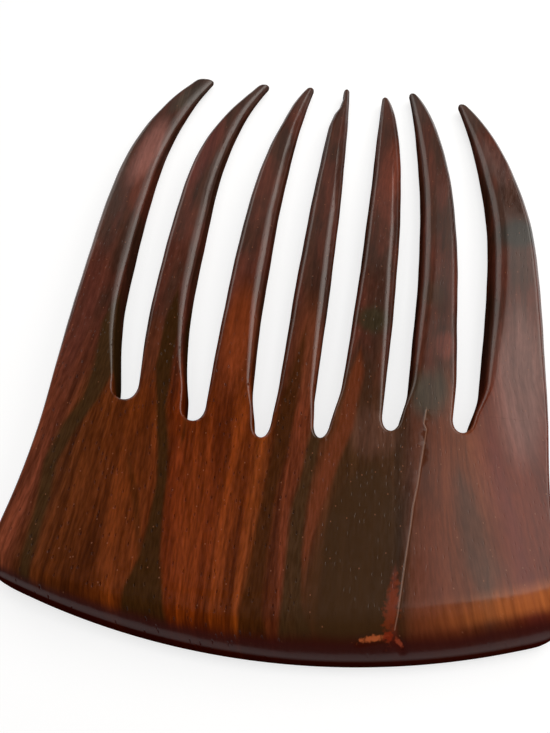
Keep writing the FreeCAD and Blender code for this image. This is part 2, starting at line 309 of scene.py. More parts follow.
# Floor and light, in linear shades: the sky's by height, and each lamp's place, target, size and radiance
FLOOR_REACH = 3000.0
FLOOR_GAP = 0.02
FLOOR_SHADE, FLOOR_GLOW = 0.4, 0.7
SKY = ((0.0, 0.7), (0.085, 0.7), (0.11, 0.1), (0.3, 0.08), (0.6, 0.02), (1.0, 0.01))
KEY_COLOUR, BOX_COLOUR = (1.0, 1.0, 1.0), (1.0, 0.96, 0.9)
LIGHTS = {
    "key": ((0, -20, 520), (0, -10, 0), (420, 420), 2.7),
    "window": ((83, 160, 300), (83, 160, 0), (38, 400), 0.9),
    "window_side": ((135, 160, 300), (135, 160, 0), (66, 400), 1.5),
    "back_box": ((-40, 390, 300), (-40, 390, 0), (300, 240), 0.25),
    "right_strip": ((310, 230, 300), (310, 230, 0), (280, 500), 3.0),
    "left_strip": ((-420, 450, 300), (0, 0, 0), (340, 340), 1.6),
}


def eased(share):
    """Smooth step from 0 to 1."""
    held = np.clip(share, 0.0, 1.0)
    return held * held * (3 - 2 * held)


def spline(knots, values, places):
    """Natural cubic spline through values at rising knots."""
    knots, values, places = (np.asarray(each, float) for each in (knots, values, places))
    gaps = np.diff(knots)
    slopes = np.diff(values) / gaps
    count = len(knots)
    system = np.eye(count)
    right = np.zeros(count)
    for row in range(1, count - 1):
        system[row, row - 1:row + 2] = gaps[row - 1], 2 * (gaps[row - 1] + gaps[row]), gaps[row]
        right[row] = 6 * (slopes[row] - slopes[row - 1])
    bends = np.linalg.solve(system, right)
    span = np.clip(np.searchsorted(knots, places, side="right") - 1, 0, count - 2)
    gap = gaps[span]
    before = (knots[span + 1] - places) / gap
    after = (places - knots[span]) / gap
    curved = (before ** 3 - before) * bends[span] + (after ** 3 - after) * bends[span + 1]
    return before * values[span] + after * values[span + 1] + curved * gap ** 2 / 6


def swell(x, y):
    """Height of the slow swell in the face."""
    height = 0.0
    for size, wavelength, heading in SWELLS:
        turn = math.radians(heading)
        along = x * math.cos(turn) + y * math.sin(turn)
        height = height + size * np.sin(2 * math.pi / wavelength * along)
    return height


def settled(share):
    """Rise from 0 to 1 that starts at once and settles smoothly."""
    left_over = np.clip(1 - share, 0.0, 1.0)
    return 1 - left_over * left_over


def corner(width, height, power):
    """Insets from the wall and drops from the top round a corner; a low power makes it a bevel."""
    turn = np.linspace(0, math.pi / 2, ROUND_STEPS + 1)
    insets = width * (1 - np.cos(turn) ** (2 / power))
    drops = height * (1 - np.sin(turn) ** (2 / power))
    return insets, drops


def edge_profile(low, high, under, over):
    """Insets and heights up one edge: round underside, wall, then a top corner of given form."""
    under_insets, under_drops = corner(under, under, ROUND_POWER)
    over_insets, over_drops = corner(*over)
    wall = between(low + under, high - over_drops[0], WALL_STEPS)
    insets = np.concatenate([under_insets[::-1], 0 * wall, over_insets])
    heights = np.concatenate([low + under_drops[::-1], wall, high - over_drops])
    return insets, heights


def between(first, last, steps):
    """Points inside a straight run, without its ends."""
    return np.linspace(first, last, steps + 1)[1:-1]


class Shape:
    """Points and faces of one piece, in millimetres."""

    def __init__(self):
        self.points = []
        self.faces = []

    def add(self, points):
        """Keep some points and give their numbers."""
        start = len(self.points)
        self.points.extend(tuple(float(value) for value in point) for point in points)
        return list(range(start, len(self.points)))

    def bridge(self, first, last, closed=False):
        """Faces between two rows of points."""
        count = len(first)
        for here in range(count if closed else count - 1):
            there = (here + 1) % count
            self.faces.append((first[here], last[here], last[there], first[there]))

    def object(self, name):
        """Smooth closed piece whose flat caps have sharp edges."""
        mesh = bpy.data.meshes.new(name)
        mesh.from_pydata([Vector(point) * MM for point in self.points], [], self.faces)
        work = bmesh.new()
        work.from_mesh(mesh)
        bmesh.ops.recalc_face_normals(work, faces=work.faces)
        for face in work.faces:
            face.smooth = True
        for cap in (face for face in work.faces if len(face.verts) > QUAD_CORNERS):
            for edge in cap.edges:
                edge.smooth = False
        work.to_mesh(mesh)
        work.free()
        piece = bpy.data.objects.new(name, mesh)
        bpy.context.scene.collection.objects.link(piece)
        return piece


def rim_runs():
    """Runs of points along the rim where the walls of the back begin, each from left to right."""
    work = bmesh.new()
    work.from_mesh(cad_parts[BACK].data)
    bmesh.ops.remove_doubles(work, verts=work.verts, dist=WELD * MM)
    rim = {vert for vert in work.verts if abs(vert.co.z / MM - EDGE_RADIUS) < WELD}
    beside = {vert: [] for vert in rim}
    for edge in work.edges:
        inside_root = all(face.normal.y > ROOT_FACING for face in edge.link_faces)
        if set(edge.verts) <= rim and not inside_root:
            for vert in edge.verts:
                beside[vert].append(edge.other_vert(vert))
    ends = [vert for vert in rim if len(beside[vert]) == 1]
    runs = []
    while ends:
        run = [ends.pop()]
        following = beside[run[0]]
        while following:
            run.append(following[0])
            following = [vert for vert in beside[run[-1]] if vert is not run[-2]]
        ends.remove(run[-1])
        places = np.array([vert.co.xy for vert in run]) / MM
        runs.append(places if places[0, 0] < places[-1, 0] else places[::-1])
    work.free()
    return sorted(runs, key=len)


def evenly(points, spacing):
    """Even points on a smooth curve through a run of points."""
    path = np.concatenate([[0.0], np.cumsum(np.hypot(*np.diff(points, axis=0).T))])
    places = np.linspace(0, path[-1], round(path[-1] / spacing) + 1)
    return np.column_stack([spline(path, points[:, axis], places) for axis in (0, 1)])


def inward(points):
    """Directions to the left of a run of points, where the wood lies."""
    heading = np.gradient(points, axis=0)
    side = np.column_stack([-heading[:, 1], heading[:, 0]])
    return side / np.linalg.norm(side, axis=1)[:, None]


def circle_through(points):
    """Centre and radius of the circle through three points."""
    sides = 2 * (points[1:] - points[0])
    squares = (points ** 2).sum(axis=1)
    centre = np.linalg.solve(sides, squares[1:] - squares[0])
    return centre, np.linalg.norm(points[0] - centre)


def bottom_arc(outer):
    """Centre and radius of the bottom edge, from three points of the outer run."""
    low = outer[outer[:, 1] < outer[:, 1].mean()]
    picked = [low[np.argmin(abs(low[:, 0] - x))] for x in (-ARC_SAMPLE, 0.0, ARC_SAMPLE)]
    return circle_through(np.array(picked))


def distance(path, x, y):
    """Distance from a place to a path of straight stretches."""
    found = math.inf
    for first, last in zip(path, path[1:]):
        start, along = np.array(first), np.subtract(last, first)
        reached = np.clip(np.dot((x, y) - start, along) / np.dot(along, along), 0.0, 1.0)
        found = min(found, float(np.hypot(*((x, y) - start - reached * along))))
    return found


def scar_depth(x, y):
    """Depth of the crack and of the chip at its foot."""
    depth = CRACK_DEPTH * max(1 - 2 * distance(CRACK, x, y) / CRACK_WIDTH, 0.0)
    for chip in CHIPS:
        depth = max(depth, CHIP_DEPTH * max(1 - 2 * distance(chip, x, y) / CHIP_WIDTH, 0.0))
    return depth


def scar_lines():
    """Lines of places along the crack and chips, on their edges and beside them, to carry their form."""
    lines = []
    for path, width in ((CRACK, CRACK_WIDTH), *((chip, CHIP_WIDTH) for chip in CHIPS)):
        middle = evenly(np.array(path), SCAR_SPACING)
        aside = inward(middle) * width / 2
        lines += [middle + offset * aside for offset in SCAR_OFFSETS]
    return lines


def face_height(x, y, arc):
    """Height of the polished face, which rolls down to the bottom edge."""
    centre, radius = arc
    depth = np.interp(x, ROLL_PLACES, ROLL_DEPTHS)
    drop = np.interp(x, ROLL_PLACES, ROLL_DROPS)
    bend = (depth ** 2 + drop ** 2) / (2 * drop)
    inside = np.clip(np.hypot(x - centre[0], y - centre[1]) - radius + depth, 0.0, depth)
    return THICKNESS - bend + np.sqrt(bend ** 2 - inside ** 2) + swell(x, y)


def run_columns(shape, points, arc):
    """One column of points up the edge at each place along a run."""
    sides = inward(points)
    sides[[0, -1]] = [(np.sign(side[0]), 0.0) for side in sides[[0, -1]]]
    columns = []
    for place, side in zip(points, sides):
        rim_height = face_height(*place, arc)
        rolled = eased((THICKNESS - rim_height) / EDGE_RADIUS)
        over = TOP_RADIUS + (RIM_RADIUS - TOP_RADIUS) * rolled
        insets, heights = edge_profile(0.0, rim_height, EDGE_RADIUS, (over, over, ROUND_POWER))
        spots = place + insets[:, None] * side
        top = slice(-ROUND_STEPS - 1, None)
        heights[top] += face_height(*spots[top].T, arc) - rim_height
        columns.append(shape.add(np.column_stack([spots, heights])))
    return columns


def fill(shape, ring, spacing, height, lines=()):
    """Cover the inside of a closed ring, and lines in it, with triangles at a function's heights."""
    fixed = [np.array([shape.points[number][:2] for number in ring]), *lines]
    border = np.concatenate(fixed)
    edges = []
    for number, line in enumerate(lines, start=1):
        start = sum(map(len, fixed[:number]))
        edges += [(start + step, start + step + 1) for step in range(len(line) - 1)]
    low, high = border.min(axis=0), border.max(axis=0)
    rows = np.arange(low[1], high[1], spacing * math.sqrt(0.75))
    lattice = []
    for number, y in enumerate(rows):
        for x in np.arange(low[0] + number % 2 * spacing / 2, high[0], spacing):
            if np.hypot(*(border - (x, y)).T).min() > EDGE_CLEARANCE_SHARE * spacing:
                lattice.append((x, y))
    flat = [Vector(point) for point in [*border, *lattice]]
    found = delaunay_2d_cdt(flat, edges, [list(range(len(ring)))], INSIDE_FACES, WELD)
    spots, triangles, sources = found[0], found[2], found[3]
    numbers = {}
    for triangle in triangles:
        for spot in triangle:
            if spot not in numbers:
                known = [source for source in sources[spot] if source < len(ring)]
                x, y = spots[spot]
                numbers[spot] = ring[known[0]] if known else shape.add([(x, y, height(x, y))])[0]
        shape.faces.append(tuple(numbers[spot] for spot in triangle))


def led_in(points, first_slope, last_slope):
    """Run of points whose ends lean the way that the tines beside it go on."""
    moved = points.copy()
    first, last = points[0], points[-1]
    for end, other, slope in ((first, last, first_slope), (last, first, last_slope)):
        nearer = abs(points[:, 0] - end[0]) < abs(points[:, 0] - other[0])
        moved[:, 0] += nearer * lead_in(slope) * np.exp((points[:, 1] - end[1]) / BACK_LEAD)
    return moved


def pinch(slot_end, y):
    """Share of a slot's narrowing at places along the pick."""
    return eased(1 - (y - slot_end) / PINCH_LENGTH)


def pinched(points, shifts, deepening):
    """Run of points round a slot whose left and right walls shift towards its end, which is deepened."""
    moved = points.copy()
    across = (points[:, 0] - points[:, 0].min()) / np.ptp(points[:, 0])
    slot_end = points[:, 1].min()
    moved[:, 0] += np.interp(across, (0, 1), shifts) * pinch(slot_end, points[:, 1])
    moved[:, 1] -= deepening * eased(1 - (points[:, 1] - slot_end) / DEEPENING_LENGTH)
    return moved


def make_back(slots, outer, arc, slopes):
    """The back: flanks, slots and bottom edge from the frame's rim, with flat caps at the tine roots."""

    def carved_height(x, y):
        return float(face_height(x, y, arc)) - scar_depth(x, y)

    shape = Shape()
    runs = [led_in(evenly(outer, OUTLINE_SPACING), slopes[0][0], slopes[-1][1])]
    for number, slot in reversed(list(enumerate(slots))):
        run = pinched(evenly(slot[::-1], OUTLINE_SPACING), SLOT_PINCHES[number], SLOT_DEEPENINGS[number])
        runs.append(led_in(run, slopes[number + 1][0], slopes[number][1]))
    columns = [run_columns(shape, run, arc) for run in runs]
    top_ring = []
    low_ring = []
    for number, run in enumerate(columns):
        for first, last in zip(run, run[1:]):
            shape.bridge(first, last)
        end = run[-1]
        start = columns[(number + 1) % len(columns)][0]
        spans = [between(shape.points[end[row]], shape.points[start[row]], FLAT_STEPS) for row in (-1, 0)]
        spans[0][:, 2] = face_height(*spans[0][:, :2].T, arc)
        above, below = (shape.add(span) for span in spans)
        shape.faces.append(tuple(end + above + start[::-1] + below[::-1]))
        top_ring += [column[-1] for column in run] + above
        low_ring += [column[0] for column in run] + below
    fill(shape, top_ring, FACE_SPACING, carved_height, scar_lines())
    fill(shape, low_ring, UNDERSIDE_SPACING, lambda x, y: 0.0)
    return shape.object("carved_back")


def tine_form(name):
    """Places along a tine, and its left, right, low and high limits there, measured on the frame."""
    low_corner, high_corner = (np.array(corner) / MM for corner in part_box(name))
    root, tip = low_corner[1] + ROOT_MARGIN, high_corner[1] - ROOT_MARGIN
    tree = BVHTree.FromObject(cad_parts[name], bpy.context.evaluated_depsgraph_get())

    def limit(start, heading, axis):
        found = tree.ray_cast(Vector(start) * MM, Vector(heading), RAY_REACH * MM)[0]
        return found[axis] / MM

    stations = root + (tip - root) * np.sin(np.linspace(0, math.pi / 2, TINE_STATIONS))
    limits = []
    for y in stations:
        left = limit((low_corner[0] - RAY_REACH / 2, y, RAY_HEIGHT), (1, 0, 0), 0)
        right = limit((high_corner[0] + RAY_REACH / 2, y, RAY_HEIGHT), (-1, 0, 0), 0)
        middle = (left + right) / 2
        low = limit((middle, y, -RAY_REACH / 2), (0, 0, 1), 2)
        high = limit((middle, y, RAY_REACH / 2), (0, 0, -1), 2)
        limits.append((left, right, low, high))
    return stations, np.array(limits).T


def root_slopes(form):
    """Slopes of a tine's left and right edges where they leave the root."""
    stations, limits = form
    step = ROOT_STEP + stations[0]
    return [(float(spline(stations, limit, [step])[0]) - limit[0]) / ROOT_STEP for limit in limits[:2]]


def lead_in(slope):
    """How far an edge moves at the root so that slot and tine run into each other without a corner."""
    return slope / (1 / BACK_LEAD + 1 / TINE_LEAD)


def tine_ring(tine, share, left, right, y, low, high):
    """Closed ring of points round a tine: round corners at the root, bevels on top further on."""
    widest = ROUND_LIMIT_SHARE * (right - left)
    highest = ROUND_LIMIT_SHARE * (high - low)
    under = min(EDGE_RADIUS, widest, highest)
    bevelled = settled(share / BEVEL_FULL_SHARE)
    sides = []
    bevels = LEFT_BEVELS[tine], RIGHT_BEVELS[tine]
    for (full_width, full_height), full_power in zip(bevels, BEVEL_POWERS):
        width = TOP_RADIUS + (full_width - TOP_RADIUS) * bevelled
        height = TOP_RADIUS + (full_height - TOP_RADIUS) * bevelled
        power = ROUND_POWER + (full_power - ROUND_POWER) * bevelled
        over = min(width, widest), min(height, highest), power
        sides.append(edge_profile(low, high, under, over))
    (left_insets, left_heights), (right_insets, right_heights) = sides
    top = between(left + left_insets[-1], right - right_insets[-1], FLAT_STEPS)
    bottom = between(left + under, right - under, FLAT_STEPS)
    xs = np.concatenate([left + left_insets, top, (right - right_insets)[::-1], bottom[::-1]])
    zs = np.concatenate([left_heights, 0 * top + high, right_heights[::-1], 0 * bottom + low])
    lift = eased((zs - low) / (high - low)) * swell(xs, y)
    return np.column_stack([xs, np.full(len(xs), y), zs + lift])


def make_tine(tine, name, form, slots):
    """One tine from its root on the back to a rounded tip."""
    stations, limits = form
    root, tip = stations[0], stations[-1]
    round_length = min(TIP_ROUND, TIP_ROUND_SHARE * (limits[1, -1] - limits[0, -1]))
    body = np.linspace(root, tip - round_length, TINE_RINGS)
    turn = np.linspace(0, math.pi / 2, TIP_RINGS + 2)[1:-1]
    places = np.concatenate([body, tip - round_length + round_length * np.sin(turn)])
    shrinks = np.concatenate([np.ones(len(body)), np.cos(turn) ** TIP_BLUNTNESS])
    lefts, rights, lows, highs = (spline(stations, limit, places) for limit in limits)
    if name in LEFT_TRIMS:
        lefts += np.interp(places, LEFT_TRIM_PLACES, LEFT_TRIMS[name])
    for edges, slope in zip((lefts, rights), root_slopes(form)):
        edges += lead_in(slope) * np.exp((root - places) / TINE_LEAD)
    for edges, slot, wall in ((lefts, tine - 1, 1), (rights, tine, 0)):
        if slot in range(len(slots)):
            edges += SLOT_PINCHES[slot][wall] * pinch(slots[slot][:, 1].min(), places)
    fade = eased((places - root) / WOBBLE_FADE)
    for size, wavelength in WOBBLES:
        lefts += fade * size * np.sin(2 * math.pi * places / wavelength + tine)
        rights += fade * size * np.sin(2 * math.pi * places / wavelength + 2 * tine)
    shape = Shape()
    rings = []
    for y, shrink, left, right, low, high in zip(places, shrinks, lefts, rights, lows, highs):
        share = (y - root) / (tip - root)
        middle, half = (left + right) / 2, (right - left) / 2 * shrink
        level, rise = (low + high) / 2, (high - low) / 2 * shrink
        ring = tine_ring(tine, share, middle - half, middle + half, y, level - rise, level + rise)
        rings.append(shape.add(ring))
    for first, last in zip(rings, rings[1:]):
        shape.bridge(first, last, closed=True)
    shape.faces.append(tuple(rings[0]))
    end = shape.add([((lefts[-1] + rights[-1]) / 2, tip, (lows[-1] + highs[-1]) / 2)])[0]
    last = rings[-1]
    for here in range(len(last)):
        shape.faces.append((last[here], last[(here + 1) % len(last)], end))
    return shape.object("carved_" + name)


def linear(colour):
    """Linear colour from 8-bit sRGB."""
    parts = np.array(colour) / SRGB_WHITE
    curved = ((parts + SRGB_OFFSET) / (1 + SRGB_OFFSET)) ** SRGB_POWER
    return *np.where(parts <= SRGB_FOOT, parts / SRGB_SLOPE, curved), 1.0


def grey(shade):
    """Neutral linear colour."""
    return shade, shade, shade, 1.0


class Nodes:
    """Short way to build a node tree: inputs are sockets or plain values."""

    def __init__(self, tree):
        self.tree = tree

    def add(self, kind, inputs, **settings):
        """One node with its settings and inputs."""
        node = self.tree.nodes.new("ShaderNode" + kind)
        for name, value in settings.items():
            setattr(node, name, value)
        for name, value in inputs.items():
            if isinstance(value, bpy.types.NodeSocket):
                self.tree.links.new(value, node.inputs[name])
            else:
                node.inputs[name].default_value = value
        return node

    def math(self, operation, *values):
        """Result of a sum or function."""
        return self.add("Math", dict(enumerate(values)), operation=operation).outputs[0]

    def span(self, value, start, end, low=0.0, high=1.0, interpolation="SMOOTHSTEP"):
        """Value brought from one range to another, held at its ends."""
        inputs = {"Value": value, "From Min": start, "From Max": end, "To Min": low, "To Max": high}
        return self.add("MapRange", inputs, interpolation_type=interpolation).outputs[0]

    def share(self, value, start, end):
        """Share of a range that a value has gone through."""
        return self.span(value, start, end, interpolation="LINEAR")

    def blend(self, factor, below, above, kind="MIX"):
        """One colour over another."""
        colours = [linear(each) if isinstance(each, tuple) else each for each in (below, above)]
        inputs = {MIX_FACTOR: factor, MIX_BELOW: colours[0], MIX_ABOVE: colours[1]}
        return self.add("Mix", inputs, data_type="RGBA", blend_type=kind).outputs[MIX_RESULT]

    def lay(self, mask, strength, below, above):
        """One colour over another where a mask is, at part strength."""
        return self.blend(self.math("MULTIPLY", mask, strength), below, above)

    def plan(self, x, y, scales=(1.0, 1.0)):
        """Plan vector from two values and their scales."""
        scaled = {axis: self.math("MULTIPLY", *pair) for axis, *pair in zip("XY", (x, y), scales)}
        return self.add("CombineXYZ", scaled).outputs[0]

    def noise(self, x, y, frequency, detail):
        """Noise with its own frequency across and along the grain."""
        inputs = {"Vector": self.plan(x, y, frequency), "Scale": 1.0, "Detail": detail}
        return self.add("TexNoise", inputs).outputs["Fac"]

    def centred(self, noise, size):
        """Noise brought to zero on average, with a size on either side."""
        aside = self.math("SUBTRACT", noise, NOISE_MIDDLE)
        return self.math("MULTIPLY", aside, size / NOISE_MIDDLE)

    def spots(self, x, y, grid, size, choice):
        """Scattered small spots, long where the grid is long, in some of its cells."""
        inputs = {"Vector": self.plan(x, y, grid), "Scale": 1.0}
        cells = self.add("TexVoronoi", inputs, voronoi_dimensions="2D")
        tone = self.add("SeparateColor", {0: cells.outputs["Color"]}).outputs[0]
        chosen = self.math("GREATER_THAN", tone, choice)
        return self.math("MULTIPLY", self.span(cells.outputs["Distance"], size, size / 2), chosen)

    def curve(self, share, points):
        """Value that follows straight stretches between points, all from 0 to 1."""
        node = self.add("FloatCurve", {"Value": share})
        line = node.mapping.curves[0]
        for place in points[1:-1]:
            line.points.new(*place)
        for point, place in zip(line.points, points):
            point.location = place
            point.handle_type = "VECTOR"
        node.mapping.update()
        return node.outputs[0]

    def ramp(self, share, stops):
        """Colour that changes smoothly between stops."""
        node = self.add("ValToRGB", {"Fac": share})
        band = node.color_ramp
        band.interpolation = "EASE"
        while len(band.elements) < len(stops):
            band.elements.new(1.0)
        for element, (place, colour) in zip(band.elements, stops):
            element.position = place
            element.color = colour
        return node.outputs[0]


def width_share(x):
    """Share of the plan's width."""
    return (x + PLAN_REACH) / (2 * PLAN_REACH)


def length_share(y):
    """Share of the plan's length."""
    return (y + HALF_LENGTH) / (2 * HALF_LENGTH)


def streak(nodes, x, along, softness, points):
    """How much a place lies in a streak whose course and width change along the grain."""
    points = [(-HALF_LENGTH, *points[0][1:]), *points, (HALF_LENGTH, *points[-1][1:])]
    course = nodes.curve(along, [(length_share(y), width_share(across)) for y, across, _ in points])
    half = nodes.curve(along, [(length_share(y), width_share(wide)) for y, _, wide in points])
    aside = nodes.math("ABSOLUTE", nodes.math("SUBTRACT", nodes.share(x, *PLAN_SPAN), course))
    past = nodes.math("SUBTRACT", aside, nodes.math("SUBTRACT", half, width_share(0.0)))
    soft = softness / (2 * PLAN_REACH)
    return nodes.span(past, soft, -soft)


def patch(nodes, grain, ragged, place, sizes, turn):
    """How much a place lies in a turned oval patch with a ragged edge."""
    beside = nodes.math("SUBTRACT", grain.x, place[0])
    above = nodes.math("SUBTRACT", grain.y, place[1])
    cosine, sine = math.cos(math.radians(turn)), math.sin(math.radians(turn))
    wide, tall = sizes
    squares = 0.0
    for beside_share, above_share in ((cosine / wide, sine / wide), (-sine / tall, cosine / tall)):
        reach = nodes.math("MULTIPLY_ADD", above, above_share, nodes.math("MULTIPLY", beside, beside_share))
        squares = nodes.math("MULTIPLY_ADD", reach, reach, squares)
    return nodes.span(nodes.math("ADD", nodes.math("SQRT", squares), ragged), 1.0, PATCH_SOFT_SHARE)


def add_patches(nodes, grain, ragged, colour, patches):
    """Colour with a set of patches laid over it."""
    for place, sizes, turn, shade, strength in patches:
        mask = patch(nodes, grain, ragged, place, sizes, turn)
        colour = nodes.lay(mask, strength, colour, shade)
    return colour


class Grain:
    """Where a place lies in the wood: on the plan, on the grain's own course and in its lines."""

    def __init__(self, nodes):
        place = nodes.add("TexCoord", {}).outputs["Object"]
        place = nodes.add("VectorMath", {0: place, "Scale": 1 / MM}, operation="SCALE").outputs[0]
        self.x, self.y, height = nodes.add("SeparateXYZ", {0: place}).outputs
        self.along = nodes.share(self.y, -HALF_LENGTH, HALF_LENGTH)
        self.warp = nodes.noise(self.x, self.y, WARP_FREQUENCY, SOFT_DETAIL)
        sunk = nodes.math("SUBTRACT", height, THICKNESS)
        layered = nodes.math("MULTIPLY_ADD", sunk, LAYER_SLOPE, self.x)
        self.course = nodes.math("ADD", layered, nodes.centred(self.warp, WARP_SIZE))
        self.across = nodes.share(self.course, *PLAN_SPAN)
        self.fibre = nodes.math("SUBTRACT", self.course, self.leant(nodes))
        self.mottle = nodes.noise(self.fibre, self.y, MOTTLE, RAGGED_DETAIL)
        self.broad = nodes.noise(self.fibre, self.y, BROAD_GRAIN, SOFT_DETAIL)
        self.fine = nodes.noise(self.fibre, self.y, FINE_GRAIN, SHARP_DETAIL)
        self.hair = nodes.noise(self.fibre, self.y, HAIR_GRAIN, SOFT_DETAIL)
        calm_tines = nodes.span(self.y, TINE_START, TINE_FULL, 1.0, CALM_SHARE)
        calm_right = nodes.span(self.x, *LIVELY_PLACES, 1.0, CALM_SHARE)
        self.lively = nodes.math("MINIMUM", calm_tines, calm_right)

    def leant(self, nodes):
        """How far the grain leans aside from the pick's length."""
        stops = [(lean + LEAN_LIMIT) / (2 * LEAN_LIMIT) for lean in LEANS]
        points = [(width_share(place), stop) for place, stop in zip(LEAN_PLACES, stops)]
        lean = nodes.span(nodes.curve(self.across, points), 0.0, 1.0, -LEAN_LIMIT, LEAN_LIMIT, "LINEAR")
        low, high = LEAN_START - LEAN_MIDDLE, LEAN_END - LEAN_MIDDLE
        return nodes.math("MULTIPLY", lean, nodes.span(self.y, LEAN_START, LEAN_END, low, high, "LINEAR"))


def broad_colour(nodes, grain):
    """Colour in broad areas: bands on the back, mottled tines, patches, some of them painted sheen, and
    grey-brown tips, partly a painted sheen.
    """
    banded = nodes.share(grain.fibre, *PLAN_SPAN)
    back = nodes.ramp(banded, [(width_share(band), linear(colour)) for band, colour in BANDS])
    tine = nodes.blend(nodes.span(grain.mottle, *MOTTLE_RANGE), TINE_COLOUR, TINE_RED)
    risen = nodes.math("ADD", grain.y, nodes.centred(grain.warp, TINE_START_WARP_SIZE))
    colour = nodes.blend(nodes.span(risen, TINE_START, TINE_FULL), back, tine)
    ragged = nodes.centred(grain.mottle, PATCH_RAGGED_SHARE)
    # Patches, some of them painted sheen and reflection
    colour = add_patches(nodes, grain, ragged, colour, PATCHES_AND_SHEENS)
    # Tips laid over with grey-brown, partly a painted sheen
    return nodes.lay(nodes.span(grain.y, TIP_START, TIP_FULL), TIP_STRENGTH, colour, TIP_TONE_AND_SHEEN)


def add_lines(nodes, grain, colour):
    """Colour with grain lines, streaks and the plain zone."""

    def lined(below, lines, contrast):
        return nodes.blend(grain.lively, below, nodes.span(lines, *GRAIN_RANGE, *contrast), "MULTIPLY")

    colour = lined(colour, grain.broad, BROAD_CONTRAST)
    colour = lined(colour, grain.fine, FINE_CONTRAST)
    for shade, strength, softness, points in STREAKS:
        mask = streak(nodes, grain.course, grain.along, softness, points)
        colour = nodes.lay(mask, strength, colour, shade)
    colour = lined(colour, grain.hair, HAIR_CONTRAST)
    plain = streak(nodes, grain.course, grain.along, PLAIN_SOFTNESS, PLAIN_ZONE)
    return nodes.lay(plain, PLAIN_STRENGTH, colour, PLAIN_COLOUR)


def pore_spots(nodes, grain):
    """Open pores, most of them where the grain is lively."""
    spots = nodes.spots(grain.fibre, grain.y, PORE_GRID, PORE_SIZE, PORE_CHOICE)
    return nodes.math("MULTIPLY", spots, nodes.span(grain.lively, CALM_SHARE, 1.0, PORE_CALM_SHARE, 1.0))


def add_spots(nodes, grain, colour, pores):
    """Colour with dark pores and pale flecks."""
    colour = nodes.blend(1.0, colour, nodes.span(pores, 0.0, 1.0, 1.0, PORE_SHADE), "MULTIPLY")
    flecks = nodes.spots(grain.fibre, grain.y, FLECK_GRID, FLECK_SIZE, FLECK_CHOICE)
    return nodes.lay(flecks, FLECK_STRENGTH, colour, FLECK_COLOUR)


def edge_depth(nodes, grain, arc):
    """How far in from the bottom edge a place lies, with a slight waver."""
    (centre_x, centre_y), radius = arc
    beside = nodes.math("SUBTRACT", grain.x, float(centre_x))
    above = nodes.math("SUBTRACT", grain.y, float(centre_y))
    outward = nodes.add("VectorMath", {0: nodes.plan(beside, above)}, operation="LENGTH").outputs["Value"]
    wavered = nodes.math("ADD", outward, nodes.centred(grain.warp, EDGE_WARP_SIZE))
    return nodes.math("SUBTRACT", float(radius), wavered)


def add_roll(nodes, grain, colour, depth, facing):
    """Colour with painted shade on the roll over the bottom edge, and a painted warm highlight above it."""
    # Painted warm highlight above the roll on the right, stronger where the face turns upward
    started, full, fading, ended = WARM_HIGHLIGHT_DEPTHS
    limits = (
        nodes.span(depth, ended, fading),
        nodes.span(grain.course, *WARM_HIGHLIGHT_PLACES),
        nodes.span(grain.fine, *GRAIN_RANGE, *WARM_HIGHLIGHT_GRAIN),
        nodes.span(facing, *WARM_HIGHLIGHT_FACING),
    )
    warm_highlight = nodes.span(depth, started, full)
    for limit in limits:
        warm_highlight = nodes.math("MULTIPLY", warm_highlight, limit)
    colour = nodes.lay(warm_highlight, WARM_HIGHLIGHT_STRENGTH, colour, WARM_HIGHLIGHT_COLOUR)
    # Painted shade: dark red laid over the roll, deepest towards the bottom edge
    shares = [deep / ROLL_DEPTHS[-1] for deep in ROLL_DEPTHS]
    points = [(width_share(place), share) for place, share in zip(ROLL_PLACES, shares)]
    roll_share = nodes.curve(grain.across, [(0.0, shares[0]), *points, (1.0, shares[-1])])
    roll_shade = nodes.span(nodes.math("DIVIDE", depth, roll_share), ROLL_SHADE_START, ROLL_SHADE_FULL)
    return nodes.lay(roll_shade, ROLL_SHADE_STRENGTH, colour, ROLL_SHADE_COLOUR)


def add_scars(nodes, grain, colour):
    """Colour with the splintered chip and the crack."""
    splinters = nodes.noise(grain.x, grain.y, CHIP_RAGGED_FREQUENCY, RAGGED_DETAIL)
    colour = add_patches(nodes, grain, nodes.centred(splinters, CHIP_RAGGED_SHARE), colour, CHIP_MARKS)
    (foot_x, foot), (head_x, head) = CRACK[-1], CRACK[0]
    below, above = CRACK_FADES
    points = [(y, x, CRACK_WIDTH * CRACK_HALF_SHARE) for x, y in reversed(CRACK)]
    points = [(foot - below, foot_x, CRACK_GONE), *points, (head + above, head_x, CRACK_GONE)]
    crack = streak(nodes, grain.x, grain.along, CRACK_WIDTH * CRACK_SOFT_SHARE, points)
    return nodes.lay(crack, CRACK_STRENGTH, colour, CRACK_COLOUR)


def rosewood(arc):
    """Polished rosewood, streaked along the pick; the arc is that of the bottom edge."""
    material = bpy.data.materials.new(SLOT)
    material.use_nodes = True
    nodes = Nodes(material.node_tree)
    grain = Grain(nodes)
    pores = pore_spots(nodes, grain)
    facing = nodes.add("SeparateXYZ", {0: nodes.add("NewGeometry", {}).outputs["Normal"]}).outputs[2]
    colour = add_lines(nodes, grain, broad_colour(nodes, grain))
    colour = add_spots(nodes, grain, colour, pores)
    colour = add_roll(nodes, grain, colour, edge_depth(nodes, grain, arc), facing)
    polish = nodes.span(facing, *POLISH_FACING, *POLISH_RANGE)
    relief = nodes.add("Bump", {"Height": pores, "Distance": PORE_RELIEF * MM}, invert=True)
    finish = {
        "Base Color": add_scars(nodes, grain, colour),
        "Roughness": nodes.span(grain.hair, *GRAIN_RANGE, *ROUGHNESS_RANGE),
        "Specular IOR Level": nodes.math("MULTIPLY", polish, nodes.span(pores, 1.0, 0.0)),
        "Normal": relief.outputs[0],
    }
    shader = material.node_tree.nodes["Principled BSDF"]
    for name, socket in finish.items():
        material.node_tree.links.new(socket, shader.inputs[name])
    return material


